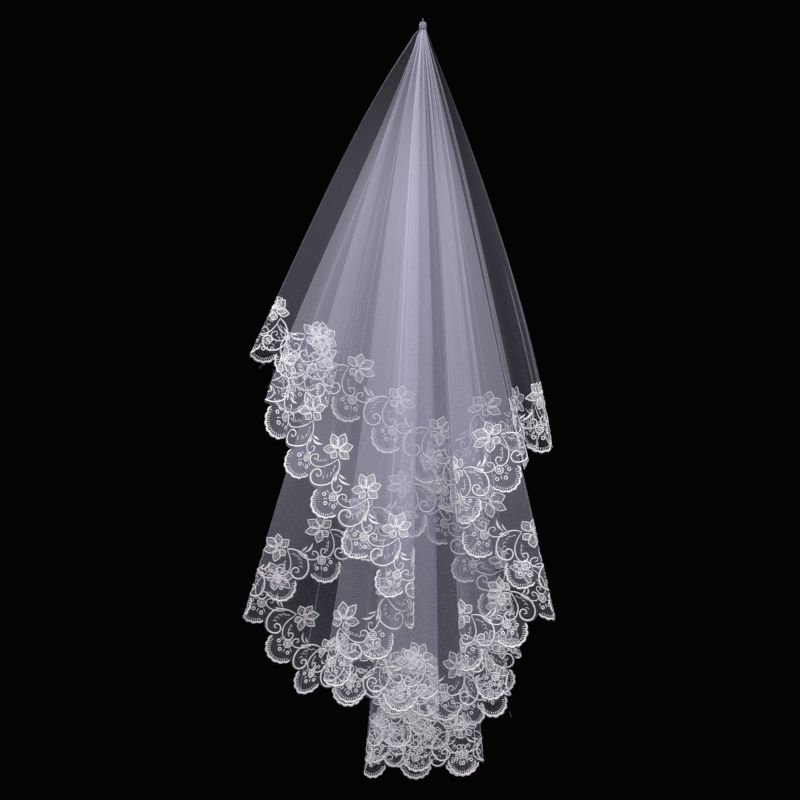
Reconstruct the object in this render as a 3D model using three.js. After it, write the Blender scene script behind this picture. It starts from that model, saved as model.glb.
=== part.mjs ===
// A lace bridal veil: one oval sheet of net with an embroidered scalloped edging, hung by a thread loop
// from a point near its middle, so that it falls in radiating folds.
// Millimetres and degrees, +Z up, +X to the right and -Y towards the viewer of the front.
// The origin is the point where the loop hangs.
// A point of the cloth has two coordinates. Its cloth angle runs round the hanging point on the flat
// sheet: 0 at the left side, 90 at the front end, 180 at the right side, 270 at the back end.
// Its reach is the distance down the cloth from the point where all the folds meet.
// The fold angle counts along the folded form. It is the cloth angle at each row of FOLDS, and between
// two rows the cloth lies evenly along the folded line.
import * as THREE from "three";

// Cut of the sheet, from the hanging point to the tips of the fans
const CUT_LEFT = 696;
const CUT_RIGHT = 822;
const CUT_FRONT = 1276;
const CUT_BACK = 1486;
const CUT_POWER = 2.4;

// Lace edging. The first fan's tip lies FIRST_FAN along the hanging edge from cloth angle 0.
const LACE_HEIGHT = 122;
const REPEATS = 63;
const FAN_HALF_WIDTH = 32;
const FAN_RISE = 29;
const LOBE_SAG = 5;
const FLANK_SHARE = 0.6;
const FIRST_FAN = -18.8;
const CLOSEST_COLUMNS = 4;
const SAMPLES = 3600;

// Walls
const NET_WALL = 1.2;
const GATHER_WALL = 0.7;
const FULL_WALL_REACH = 260;
const LACE_WALL = 1.6;
const RIM_WALL = 2.2;
const GAP = 0.4;
const SEAM_GAP = 0.8;

// Where the folds meet, and how they open on their way down
const FOLDS_MEET = -8.5;
const FLARE_END = 800;
const DEPTH_FLARE = 0.3;
const FOLD_ROUNDNESS = 2.4;
const GATHER_REACH = 60;

// One row for each fold edge and each turn of a panel. The cloth column is the cloth angle. The next
// three are the angle to the side of the plumb line at the top, at half flare and from full flare on,
// and the last is the angle behind the plumb line, with minus towards the viewer.
const FOLDS = table(
  ["name", "cloth", "top", "middle", "low", "depth"],
  [
    ["left_flap", 0, -36.0, -29.3, -27.2, 0.0],
    ["left_inner", 23.7, -18.5, -14.8, -13.9, -4.6],
    ["front_left", 32.9, -19.0, -22.5, -21.8, -8.4],
    ["front_left_turn", 41.2, -14.0, -19.2, -18.0, -9.8],
    ["front_turn", 62.7, -7.0, -4.4, -3.8, -13.8],
    ["front_middle", 66, -3.5, -1.1, -0.9, -12.6],
    ["middle_return", 69.8, -5.0, -3.5, -2.8, -9.6],
    ["centre_left", 80.7, -12.5, -9.8, -8.4, -8.0],
    ["centre_inner", 86, 0.5, 1.5, 1.0, -6.8],
    ["front_end_left", 90.1, -5.0, -3.8, -2.9, -5.5],
    ["front_end_turn", 98.2, 6.0, 4.8, 3.8, -4.0],
    ["front_end_right", 104.9, 9.5, 8.3, 7.3, -4.4],
    ["right_inner", 116.2, 5.0, 4.0, 3.1, -5.8],
    ["right_side", 124.1, 13.0, 12.9, 12.2, -7.1],
    ["front_right_inner", 142.5, 9.0, 4.9, 3.6, -10.9],
    ["front_right_turn", 148.9, 13.0, 9.3, 8.3, -12.5],
    ["front_right", 158.5, 17.5, 14.3, 13.1, -11.0],
    ["right_tuck", 160.9, 16.0, 13.7, 12.5, -9.4],
    ["right_flap", 180.8, 22.0, 20.2, 17.0, 0.0],
    ["back_right", 195.9, 12.5, 11.5, 10.5, 17.0],
    ["back_middle_turn", 214.7, 3.5, 3.5, 3.2, 18.2],
    ["back_middle", 217.4, 0.0, 0.5, 0.8, 17.0],
    ["back_lobe", 240.9, 12.0, 10.5, 9.2, 14.9],
    ["back_end_return", 261.6, -6.0, -5.0, -4.5, 12.9],
    ["back_end_right", 274.4, 7.0, 6.0, 4.9, 11.3],
    ["back_end_left", 280.2, -6.0, -5.0, -4.2, 9.8],
    ["back_inner", 288.6, 2.0, 2.0, 1.5, 8.4],
    ["back_left_turn", 291, -13.0, -11.5, -10.6, 7.4],
    ["back_left", 298.7, -20.0, -18.4, -17.1, 6.3],
    ["back_centre", 316.7, 3.0, 4.0, 4.0, 4.6],
  ],
);

// The bulb and neck of the gathers: how far each level lies below the origin, and how far it reaches
const HEAD = table(
  ["drop", "left", "right", "front", "back"],
  [
    [6.0, 3.6, 3.6, 3.6, 3.6],
    [7.6, 5.4, 5.2, 5.2, 5.2],
    [11.0, 6.8, 6.3, 6.2, 6.2],
    [14.5, 6.6, 6.4, 6.1, 6.1],
    [16.2, 5.5, 5.5, 5.3, 5.3],
    [19.4, 5.5, 5.5, 5.3, 5.3],
    [22.0, 9.3, 7.4, 6.4, 6.4],
    [31.0, 17.0, 10.6, 9.0, 11.0],
  ],
);
const HEAD_SHAPE_REACH = 45;
const NECK_TOP = 16.2;
const NECK_BOTTOM = 19.4;

// Thread
const THREAD = 1.2;
const BINDING_THREAD = 0.9;
const BINDING_TURNS = 3;
const BINDING_GROOVE_SHARE = 0.6;
const BINDING_SIDES = 24;
const LOOP_INNER_RADIUS = 2.3;
const LOOP_SIDES = 8;
const LOOP_ARC_STEPS = 12;

// Fineness of the meshes. A column step is measured along the folded line at a drop of 1.
const NET_COLUMN_STEP = 0.036;
const HEAD_COLUMN_STEP = 0.09;
const NET_LEVELS = [GATHER_REACH, 130, 240, 400];
const CUT_TOLERANCE = 0.01;
const FOLD_NUDGE = 0.05;
const REACH_NUDGE = 1;

function table(columns, rows) {
  return rows.map((row) => Object.fromEntries(columns.map((name, i) => [name, row[i]])));
}

// A smooth closed curve through one column of FOLDS that swings no further than its rows do.
// A steepness over 1 spreads a fold edge's two layers apart sooner.
function foldCurve(column, steepness) {
  const count = FOLDS.length;
  const x = FOLDS.map((row) => row.cloth);
  const y = FOLDS.map((row) => row[column]);
  x.push(360);
  y.push(y[0]);
  const step = x.slice(1).map((end, i) => end - x[i]);
  const rate = step.map((width, i) => (y[i + 1] - y[i]) / width);
  const slope = rate.map((next, i) => {
    const last = rate[(i + count - 1) % count];
    if (last * next <= 0) return 0;
    const before = step[(i + count - 1) % count];
    const lastShare = 2 * step[i] + before;
    const nextShare = step[i] + 2 * before;
    const mean = (lastShare + nextShare) / (lastShare / last + nextShare / next);
    const most = 3 * Math.min(Math.abs(last), Math.abs(next));
    return THREE.MathUtils.clamp(mean * steepness, -most, most);
  });
  slope.push(slope[0]);
  return (fold) => {
    const at = THREE.MathUtils.euclideanModulo(fold, 360);
    let i = count - 1;
    while (x[i] > at) i -= 1;
    const t = (at - x[i]) / step[i];
    return (
      (1 + 2 * t) * (1 - t) ** 2 * y[i] +
      t * (1 - t) ** 2 * step[i] * slope[i] +
      t * t * (3 - 2 * t) * y[i + 1] +
      t * t * (t - 1) * step[i] * slope[i + 1]
    );
  };
}

const sideTop = foldCurve("top", 1);
const sideMiddle = foldCurve("middle", 1);
const sideLow = foldCurve("low", 1);
const depthLow = foldCurve("depth", FOLD_ROUNDNESS);

// Reach of the cut edge, the line through the tips of the fans
function cutReach(cloth) {
  const angle = THREE.MathUtils.degToRad(cloth);
  const across = -Math.cos(angle);
  const forward = Math.sin(angle);
  const halfWidth = (CUT_LEFT + CUT_RIGHT) / 2;
  const halfLength = (CUT_FRONT + CUT_BACK) / 2;
  const shiftRight = (CUT_RIGHT - CUT_LEFT) / 2;
  const shiftFront = (CUT_FRONT - CUT_BACK) / 2;
  let near = 0;
  let far = CUT_LEFT + CUT_BACK;
  while (far - near > CUT_TOLERANCE) {
    const reach = (near + far) / 2;
    const size =
      Math.abs((reach * across - shiftRight) / halfWidth) ** CUT_POWER +
      Math.abs((reach * forward - shiftFront) / halfLength) ** CUT_POWER;
    if (size < 1) near = reach;
    else far = reach;
  }
  return near;
}

// The value at x on the straight lines between points, with the xs in rising order
function interpolate(x, xs, ys) {
  let low = 0;
  let high = xs.length - 1;
  while (high - low > 1) {
    const middle = Math.floor((low + high) / 2);
    if (xs[middle] > x) high = middle;
    else low = middle;
  }
  return THREE.MathUtils.mapLinear(x, xs[low], xs[high], ys[low], ys[high]);
}

// Length along a line at each of its points
function lengthsAlong(points) {
  const lengths = [0];
  for (let i = 1; i < points.length; i += 1) {
    lengths.push(lengths[i - 1] + points[i].distanceTo(points[i - 1]));
  }
  return lengths;
}

const angles = Array.from({ length: SAMPLES + 1 }, (_, i) => (i * 360) / SAMPLES);
const foldedLine = lengthsAlong(
  angles.map((fold) => {
    const side = Math.tan(THREE.MathUtils.degToRad(sideLow(fold)));
    const depth = Math.tan(THREE.MathUtils.degToRad(depthLow(fold)));
    return new THREE.Vector2(side, depth);
  }),
);
const rowAngles = [...FOLDS.map((row) => row.cloth), 360];
const rowLengths = rowAngles.map((angle) => interpolate(angle, angles, foldedLine));
const clothAngles = foldedLine.map((length) => interpolate(length, rowLengths, rowAngles));

function clothAt(fold) {
  return interpolate(fold, angles, clothAngles);
}

// Where a point of the cloth hangs
function place(fold, reach) {
  const t = Math.min(reach / FLARE_END, 1);
  const side =
    2 * (t - 0.5) * (t - 1) * sideTop(fold) -
    4 * t * (t - 1) * sideMiddle(fold) +
    2 * t * (t - 0.5) * sideLow(fold);
  const depth = depthLow(fold) * (1 + DEPTH_FLARE * (1 - t));
  return new THREE.Vector3(
    Math.tan(THREE.MathUtils.degToRad(side)),
    Math.tan(THREE.MathUtils.degToRad(depth)),
    -1,
  )
    .setLength(reach)
    .add(new THREE.Vector3(0, 0, FOLDS_MEET));
}

// The way out of the cloth at a point, away from the hollow inside the veil
function outward(fold, reach) {
  const along = place(fold + FOLD_NUDGE, reach).sub(place(fold - FOLD_NUDGE, reach));
  const down = place(fold, reach + REACH_NUDGE).sub(place(fold, reach - REACH_NUDGE));
  return along.cross(down).normalize().negate();
}

// Fold angles with one at each row of FOLDS and the rest evenly between them along the folded line
function columnsAt(step) {
  const list = [];
  FOLDS.forEach((row, i) => {
    const width = rowLengths[i + 1] - rowLengths[i];
    const parts = Math.max(2, Math.round(width / step));
    list.push(row.cloth);
    for (let k = 1; k < parts; k += 1) {
      list.push(interpolate(rowLengths[i] + (width * k) / parts, foldedLine, angles));
    }
  });
  return list;
}

// What a wall is made from: a point of the cloth, the way out there and half the wall's thickness
function clothSpot(fold, reach, half) {
  return { point: place(fold, reach), normal: outward(fold, reach), half };
}

// A closed wall that runs all the way round, with a spot for each column and level
function wall(columns, levels, spotOf) {
  const vertices = [];
  const faces = [];
  columns.forEach((column) => {
    for (let j = 0; j < levels; j += 1) {
      const { point, normal, half } = spotOf(column, j);
      const outer = point.clone().addScaledVector(normal, half);
      const inner = point.clone().addScaledVector(normal, -half);
      vertices.push(outer.x, outer.y, outer.z, inner.x, inner.y, inner.z);
    }
  });
  const index = (i, j, side) => 2 * ((i % columns.length) * levels + j) + side;
  const quad = (a, b, c, d) => faces.push(a, b, c, a, c, d);
  for (let i = 0; i < columns.length; i += 1) {
    for (let j = 0; j + 1 < levels; j += 1) {
      quad(index(i, j, 0), index(i, j + 1, 0), index(i + 1, j + 1, 0), index(i + 1, j, 0));
      quad(index(i, j, 1), index(i + 1, j, 1), index(i + 1, j + 1, 1), index(i, j + 1, 1));
    }
    const last = levels - 1;
    quad(index(i, 0, 0), index(i + 1, 0, 0), index(i + 1, 0, 1), index(i, 0, 1));
    quad(index(i, last, 0), index(i, last, 1), index(i + 1, last, 1), index(i + 1, last, 0));
  }
  return geometryOf(vertices, faces);
}

function geometryOf(vertices, faces) {
  const geometry = new THREE.BufferGeometry();
  geometry.setAttribute("position", new THREE.Float32BufferAttribute(vertices, 3));
  geometry.setIndex(faces);
  geometry.computeVertexNormals();
  return geometry;
}

const netColumns = columnsAt(NET_COLUMN_STEP);

// Reach of the net's lower edge, where the lace begins
function seamReach(fold) {
  return cutReach(clothAt(fold)) - LACE_HEIGHT;
}

// The net, from just below the gathers to just above the lace
function netGeometry() {
  const spotOf = (fold, level) => {
    const seam = seamReach(fold) - SEAM_GAP;
    const last = NET_LEVELS.at(-1);
    const reach = [...NET_LEVELS, (last + seam) / 2, seam][level];
    const share = THREE.MathUtils.smoothstep(reach, GATHER_REACH, FULL_WALL_REACH);
    return clothSpot(fold, reach, THREE.MathUtils.lerp(GATHER_WALL, NET_WALL, share) / 2);
  };
  return wall(netColumns, NET_LEVELS.length + 2, spotOf);
}

// A point of the seam and the way out there, on the straight line between the net's nearest columns
function seamSpot(fold) {
  let i = netColumns.length - 1;
  while (netColumns[i] > fold) i -= 1;
  const start = netColumns[i];
  const end = netColumns[i + 1] ?? 360;
  const share = (fold - start) / (end - start);
  const between = (make) => make(start, seamReach(start)).lerp(make(end, seamReach(end)), share);
  return { point: between(place), normal: between(outward), half: LACE_WALL / 2 };
}

// Columns of the lace: in each repeat one at the tip of a fan, two on its flanks, two at its corners
// and one in the middle of the shallow lobe beside it, and one more at each row of FOLDS, where it
// replaces the others that lie close. Each has its rise above the cut edge.
// At the seam the nearest one moves over to each corner of the net's edge.
function laceColumns() {
  const cutLine = lengthsAlong(angles.map((fold) => place(fold, cutReach(clothAt(fold)))));
  const length = cutLine.at(-1);
  const repeat = length / REPEATS;
  const flank = FAN_HALF_WIDTH * FLANK_SHARE;
  const flankRise = FAN_RISE * (1 - Math.sqrt(1 - FLANK_SHARE ** 2));
  const stops = [0, flank, FAN_HALF_WIDTH, repeat / 2, repeat - FAN_HALF_WIDTH, repeat - flank, repeat];
  const rises = [0, flankRise, FAN_RISE, FAN_RISE - LOBE_SAG, FAN_RISE, flankRise, 0];
  const riseAt = (along) => {
    const stop = THREE.MathUtils.euclideanModulo(along - FIRST_FAN, repeat);
    return interpolate(stop, stops, rises);
  };
  const foldColumns = FOLDS.map((row) => interpolate(row.cloth, angles, cutLine));
  const isClear = (along) =>
    [...foldColumns, length].every((column) => Math.abs(column - along) > CLOSEST_COLUMNS);
  const fanColumns = [];
  for (let k = 0; k < REPEATS; k += 1) {
    for (const stop of stops.slice(1)) {
      fanColumns.push(THREE.MathUtils.euclideanModulo(k * repeat + stop + FIRST_FAN, length));
    }
  }
  const columns = [...foldColumns, ...fanColumns.filter(isClear)]
    .sort((a, b) => a - b)
    .map((along) => {
      const fold = interpolate(along, cutLine, angles);
      return { fold, seamFold: fold, rise: riseAt(along) };
    });
  for (const corner of netColumns) {
    const distance = (column) => Math.abs(column.fold - corner);
    const nearest = columns.reduce((best, column) =>
      distance(column) < distance(best) ? column : best,
    );
    nearest.seamFold = corner;
  }
  return columns;
}

// The embroidered band with its scalloped edge, thicker along the corded rim
function laceGeometry() {
  const columns = laceColumns();
  const spotOf = ({ fold, seamFold, rise }, level) => {
    const top = seamReach(fold);
    const bottom = cutReach(clothAt(fold)) - rise;
    if (level === 0) return seamSpot(seamFold);
    if (level === 1) return clothSpot(fold, (top + bottom) / 2, LACE_WALL / 2);
    return clothSpot(fold, bottom, RIM_WALL / 2);
  };
  return wall(columns, 3, spotOf);
}

// One closed ring of points for each level of the gathers, from the top of the bulb downwards
function headRings(columns) {
  const shape = columns.map((fold) => place(fold, HEAD_SHAPE_REACH));
  const box = new THREE.Box3().setFromPoints(shape);
  const rings = HEAD.map((level) =>
    shape.map((point) => {
      const across = (point.x - box.min.x) / (box.max.x - box.min.x);
      const through = (point.y - box.min.y) / (box.max.y - box.min.y);
      return new THREE.Vector3(
        THREE.MathUtils.lerp(-level.left, level.right, across),
        THREE.MathUtils.lerp(-level.front, level.back, through),
        -level.drop,
      );
    }),
  );
  for (const reach of [HEAD_SHAPE_REACH, GATHER_REACH - GAP]) {
    rings.push(columns.map((fold) => place(fold, reach)));
  }
  return rings;
}

// The gathers as one solid, pleated all round as the folds below it are
function gatherGeometry() {
  const columns = columnsAt(HEAD_COLUMN_STEP);
  const rings = headRings(columns);
  const vertices = rings.flat().flatMap((point) => point.toArray());
  const faces = [];
  const count = columns.length;
  for (let j = 0; j + 1 < rings.length; j += 1) {
    for (let i = 0; i < count; i += 1) {
      const a = j * count + i;
      const b = j * count + ((i + 1) % count);
      faces.push(a, a + count, b + count, a, b + count, b);
    }
  }
  const lid = (ring, start, flip) => {
    const outline = ring.map((point) => new THREE.Vector2(point.x, point.y));
    for (const [a, b, c] of THREE.ShapeUtils.triangulateShape(outline, [])) {
      faces.push(start + a, start + (flip ? c : b), start + (flip ? b : c));
    }
  };
  lid(rings[0], 0, false);
  lid(rings.at(-1), count * (rings.length - 1), true);
  return geometryOf(vertices, faces);
}

// The thread wound round the neck, its turns pressed into one ring
function bindingGeometry() {
  const neck = headRings(columnsAt(HEAD_COLUMN_STEP))
    .flat()
    .filter((point) => point.z <= -NECK_TOP && point.z >= -NECK_BOTTOM);
  const inner = Math.max(...neck.map((point) => Math.hypot(point.x, point.y))) + GAP;
  const middle = -(NECK_TOP + NECK_BOTTOM) / 2;
  const bottom = middle - (BINDING_TURNS * BINDING_THREAD) / 2;
  const groove = inner + BINDING_THREAD * BINDING_GROOVE_SHARE;
  const profile = [new THREE.Vector2(inner, bottom)];
  for (let turn = 0; turn < BINDING_TURNS; turn += 1) {
    const low = bottom + turn * BINDING_THREAD;
    profile.push(new THREE.Vector2(groove, low));
    profile.push(new THREE.Vector2(inner + BINDING_THREAD, low + BINDING_THREAD / 2));
  }
  const top = bottom + BINDING_TURNS * BINDING_THREAD;
  profile.push(new THREE.Vector2(groove, top));
  profile.push(new THREE.Vector2(inner, top));
  profile.push(profile[0].clone());
  return new THREE.LatheGeometry(profile, BINDING_SIDES).rotateX(Math.PI / 2);
}

// The loop: two legs that rise from the bulb and an arch whose underside is the origin
function loopGeometry() {
  const radius = LOOP_INNER_RADIUS + THREAD / 2;
  const arch = -LOOP_INNER_RADIUS;
  const foot = -HEAD[0].drop + GAP;
  const path = [new THREE.Vector3(0, -radius, foot)];
  for (let i = 0; i <= LOOP_ARC_STEPS; i += 1) {
    const angle = (Math.PI * i) / LOOP_ARC_STEPS;
    const y = -radius * Math.cos(angle);
    path.push(new THREE.Vector3(0, y, arch + radius * Math.sin(angle)));
  }
  path.push(new THREE.Vector3(0, radius, foot));
  const vertices = [];
  const faces = [];
  path.forEach((point, i) => {
    const next = path[Math.min(i + 1, path.length - 1)];
    const last = path[Math.max(i - 1, 0)];
    const ahead = next.clone().sub(last).normalize();
    const side = new THREE.Vector3(1, 0, 0);
    const up = side.clone().cross(ahead);
    for (let k = 0; k < LOOP_SIDES; k += 1) {
      const turn = (2 * Math.PI * (k + 0.5)) / LOOP_SIDES;
      const spot = point
        .clone()
        .addScaledVector(side, (Math.cos(turn) * THREAD) / 2)
        .addScaledVector(up, (Math.sin(turn) * THREAD) / 2);
      vertices.push(spot.x, spot.y, spot.z);
    }
  });
  for (let i = 0; i + 1 < path.length; i += 1) {
    for (let k = 0; k < LOOP_SIDES; k += 1) {
      const a = i * LOOP_SIDES + k;
      const b = i * LOOP_SIDES + ((k + 1) % LOOP_SIDES);
      faces.push(a, b + LOOP_SIDES, b, a, a + LOOP_SIDES, b + LOOP_SIDES);
    }
  }
  const end = (path.length - 1) * LOOP_SIDES;
  for (let k = 1; k + 1 < LOOP_SIDES; k += 1) {
    faces.push(0, k, k + 1, end, end + k + 1, end + k);
  }
  return geometryOf(vertices, faces);
}

const net = new THREE.MeshStandardMaterial({
  color: 0xe6e3ee,
  roughness: 0.8,
  metalness: 0,
  transparent: true,
  opacity: 0.35,
  side: THREE.DoubleSide,
});
const gathered = new THREE.MeshStandardMaterial({ color: 0xf0eef5, roughness: 0.75, metalness: 0 });
const lace = new THREE.MeshStandardMaterial({ color: 0xf3f0f2, roughness: 0.6, metalness: 0 });
const thread = new THREE.MeshStandardMaterial({ color: 0xf7f6f8, roughness: 0.65, metalness: 0 });

const veil = new THREE.Group();
for (const [name, geometry, material] of [
  ["net_sheet", netGeometry(), net],
  ["lace_edging", laceGeometry(), lace],
  ["net_gather", gatherGeometry(), gathered],
  ["neck_binding", bindingGeometry(), thread],
  ["hanging_loop", loopGeometry(), thread],
]) {
  const mesh = new THREE.Mesh(geometry, material);
  mesh.name = name;
  veil.add(mesh);
}

export default veil;
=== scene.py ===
"""Looks of the lace bridal veil: one oval sheet of net with an embroidered scalloped edging, hung by a
thread loop near its middle so that it falls in radiating folds.

Metres and degrees, +Z up, -Y towards the viewer of the front. The origin is where the loop hangs.
A point of the cloth has a cloth angle round the hanging point (0 the left side, 90 the front end, 180
the right side, 270 the back end) and a reach, the distance down the cloth from where the folds meet.
The fold angle counts along the folded form: it is the cloth angle at each row of FOLDS, and between
two rows the cloth lies evenly along the folded line.
A point of the lace has u, along the hem from the tip of its fan, and v, inwards from the tips.
"""

import math

import bpy
import numpy as np
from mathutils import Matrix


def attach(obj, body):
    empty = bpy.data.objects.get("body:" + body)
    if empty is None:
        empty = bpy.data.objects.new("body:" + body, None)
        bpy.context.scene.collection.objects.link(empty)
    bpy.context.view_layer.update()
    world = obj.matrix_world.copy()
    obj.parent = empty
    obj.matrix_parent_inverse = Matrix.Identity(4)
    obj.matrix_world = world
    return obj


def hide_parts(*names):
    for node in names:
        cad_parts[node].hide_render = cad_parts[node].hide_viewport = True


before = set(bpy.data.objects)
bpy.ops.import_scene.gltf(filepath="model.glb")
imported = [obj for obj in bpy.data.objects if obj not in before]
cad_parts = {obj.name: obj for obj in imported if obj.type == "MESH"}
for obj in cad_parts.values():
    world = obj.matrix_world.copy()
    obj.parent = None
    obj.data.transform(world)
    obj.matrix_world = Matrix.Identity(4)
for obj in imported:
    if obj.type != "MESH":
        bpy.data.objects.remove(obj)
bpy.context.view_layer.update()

MM = 0.001
PHOTO_SIZE = 800
PHOTO_SCALE = 0.00185

# The sheet's cut, from the hanging point to the tips of the fans, as in the CAD source
CUT_LEFT = 0.696
CUT_RIGHT = 0.822
CUT_FRONT = 1.276
CUT_BACK = 1.486
CUT_POWER = 2.4

# Lace edging, as in the CAD source
REPEATS = 63
LACE_HEIGHT = 0.122
FAN_HALF_WIDTH = 0.032
FAN_RISE = 0.029
LOBE_SAG = 0.005
FIRST_FAN = -0.0188
FAN_ROUNDNESS = 1.02

# How the folds open, as in the CAD source
FOLDS_MEET = -0.0085
FLARE_END = 0.8
DEPTH_FLARE = 0.3
FOLD_ROUNDNESS = 2.4
HEAD_SHAPE_REACH = 0.045

# Fold edges and turns of the panels, as in the CAD source: the cloth angle, the angles to the side of
# the plumb line at the top, at half flare and from full flare on, and the angle behind the plumb line
FOLDS = {
    "left_flap": (0, -36.0, -29.3, -27.2, 0.0),
    "left_inner": (23.7, -18.5, -14.8, -13.9, -4.6),
    "front_left": (32.9, -19.0, -22.5, -21.8, -8.4),
    "front_left_turn": (41.2, -14.0, -19.2, -18.0, -9.8),
    "front_turn": (62.7, -7.0, -4.4, -3.8, -13.8),
    "front_middle": (66, -3.5, -1.1, -0.9, -12.6),
    "middle_return": (69.8, -5.0, -3.5, -2.8, -9.6),
    "centre_left": (80.7, -12.5, -9.8, -8.4, -8.0),
    "centre_inner": (86, 0.5, 1.5, 1.0, -6.8),
    "front_end_left": (90.1, -5.0, -3.8, -2.9, -5.5),
    "front_end_turn": (98.2, 6.0, 4.8, 3.8, -4.0),
    "front_end_right": (104.9, 9.5, 8.3, 7.3, -4.4),
    "right_inner": (116.2, 5.0, 4.0, 3.1, -5.8),
    "right_side": (124.1, 13.0, 12.9, 12.2, -7.1),
    "front_right_inner": (142.5, 9.0, 4.9, 3.6, -10.9),
    "front_right_turn": (148.9, 13.0, 9.3, 8.3, -12.5),
    "front_right": (158.5, 17.5, 14.3, 13.1, -11.0),
    "right_tuck": (160.9, 16.0, 13.7, 12.5, -9.4),
    "right_flap": (180.8, 22.0, 20.2, 17.0, 0.0),
    "back_right": (195.9, 12.5, 11.5, 10.5, 17.0),
    "back_middle_turn": (214.7, 3.5, 3.5, 3.2, 18.2),
    "back_middle": (217.4, 0.0, 0.5, 0.8, 17.0),
    "back_lobe": (240.9, 12.0, 10.5, 9.2, 14.9),
    "back_end_return": (261.6, -6.0, -5.0, -4.5, 12.9),
    "back_end_right": (274.4, 7.0, 6.0, 4.9, 11.3),
    "back_end_left": (280.2, -6.0, -5.0, -4.2, 9.8),
    "back_inner": (288.6, 2.0, 2.0, 1.5, 8.4),
    "back_left_turn": (291, -13.0, -11.5, -10.6, 7.4),
    "back_left": (298.7, -20.0, -18.4, -17.1, 6.3),
    "back_centre": (316.7, 3.0, 4.0, 4.0, 4.6),
}

# The bulb and neck of the gathers, as in the CAD source: drop below the origin, and how far each level
# reaches to the left, right, front and back, in millimetres
HEAD = np.array([
    (6.0, 3.6, 3.6, 3.6, 3.6),
    (7.6, 5.4, 5.2, 5.2, 5.2),
    (11.0, 6.8, 6.3, 6.2, 6.2),
    (14.5, 6.6, 6.4, 6.1, 6.1),
    (16.2, 5.5, 5.5, 5.3, 5.3),
    (19.4, 5.5, 5.5, 5.3, 5.3),
    (22.0, 9.3, 7.4, 6.4, 6.4),
    (31.0, 17.0, 10.6, 9.0, 11.0),
]) * MM
NECK_LEVEL = 5

# Thread, as in the CAD source
LOOP_RADIUS = 0.0029
LOOP_ARCH = -0.0023
LOOP_FOOT = -0.0056
BINDING_TOP = -0.0162
BINDING_BOTTOM = -0.0194
BINDING_RADIUS = 0.0064

# Soft flutes between the folds: waves round the sheet, drift down the cloth and height
FLUTES = ((41, 1.4, 0.0030), (67, -2.1, 0.0022), (103, 3.3, 0.0012))
FLUTES_START = 0.25
FLUTES_FULL = 0.95

NUDGE_ANGLE = 0.04
NUDGE_REACH = 0.0005


def unit(vectors):
    return vectors / np.linalg.norm(vectors, axis=-1, keepdims=True)


def smooth_step(value, start, end):
    t = np.clip((value - start) / (end - start), 0, 1)
    return t * t * (3 - 2 * t)


def fold_curve(column, steepness):
    """A smooth closed curve through one column of FOLDS that swings no further than its rows do."""
    rows = np.array(list(FOLDS.values()), float)
    x = np.append(rows[:, 0], 360.0)
    y = np.append(rows[:, column], rows[0, column])
    step = np.diff(x)
    rate = np.diff(y) / step
    last = np.roll(rate, 1)
    before = np.roll(step, 1)
    turning = last * rate <= 0
    safe_last = np.where(turning, 1, last)
    safe_rate = np.where(turning, 1, rate)
    last_share = 2 * step + before
    next_share = step + 2 * before
    mean = (last_share + next_share) / (last_share / safe_last + next_share / safe_rate)
    most = 3 * np.minimum(abs(last), abs(rate))
    slope = np.where(turning, 0, np.clip(mean * steepness, -most, most))
    slope = np.append(slope, slope[0])

    def curve(fold):
        at = np.mod(fold, 360.0)
        i = np.clip(np.searchsorted(x, at, side="right") - 1, 0, len(step) - 1)
        t = (at - x[i]) / step[i]
        return (
            (1 + 2 * t) * (1 - t) ** 2 * y[i]
            + t * (1 - t) ** 2 * step[i] * slope[i]
            + t * t * (3 - 2 * t) * y[i + 1]
            + t * t * (t - 1) * step[i] * slope[i + 1]
        )

    return curve


side_top = fold_curve(1, 1)
side_middle = fold_curve(2, 1)
side_low = fold_curve(3, 1)
depth_low = fold_curve(4, FOLD_ROUNDNESS)


def lengths_along(points):
    return np.concatenate([[0], np.cumsum(np.linalg.norm(np.diff(points, axis=0), axis=1))])


ANGLES = np.linspace(0, 360, 3601)
ROW_ANGLES = np.array([row[0] for row in FOLDS.values()] + [360.0])
FOLDED_LINE = lengths_along(np.tan(np.radians(np.stack([side_low(ANGLES), depth_low(ANGLES)], -1))))
CLOTH_ANGLES = np.interp(FOLDED_LINE, np.interp(ROW_ANGLES, ANGLES, FOLDED_LINE), ROW_ANGLES)


def fold_of(cloth):
    """The fold angle of a cloth angle."""
    return np.interp(np.mod(cloth, 360.0), CLOTH_ANGLES, ANGLES)


def cloth_at(fold):
    """The cloth angle of a fold angle."""
    return np.interp(np.mod(fold, 360.0), ANGLES, CLOTH_ANGLES)


def at_fold(fold, reach):
    """Where the point at a fold angle and reach hangs, before the soft flutes."""
    t = np.minimum(reach / FLARE_END, 1)
    side = (
        2 * (t - 0.5) * (t - 1) * side_top(fold)
        - 4 * t * (t - 1) * side_middle(fold)
        + 2 * t * (t - 0.5) * side_low(fold)
    )
    depth = depth_low(fold) * (1 + DEPTH_FLARE * (1 - t))
    down = np.stack([np.tan(np.radians(side)), np.tan(np.radians(depth)), -np.ones_like(side)], -1)
    point = unit(down) * reach[..., None]
    point[..., 2] += FOLDS_MEET
    return point


def folded(cloth, reach):
    """Where a point of the cloth hangs, before the soft flutes."""
    return at_fold(fold_of(cloth), reach)


def way_out(shape, cloth, reach):
    """The way out of the cloth at a point, away from the hollow inside the veil."""
    along = shape(cloth + NUDGE_ANGLE, reach) - shape(cloth - NUDGE_ANGLE, reach)
    down = shape(cloth, reach + NUDGE_REACH) - shape(cloth, reach - NUDGE_REACH)
    return -unit(np.cross(along, down))


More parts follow.
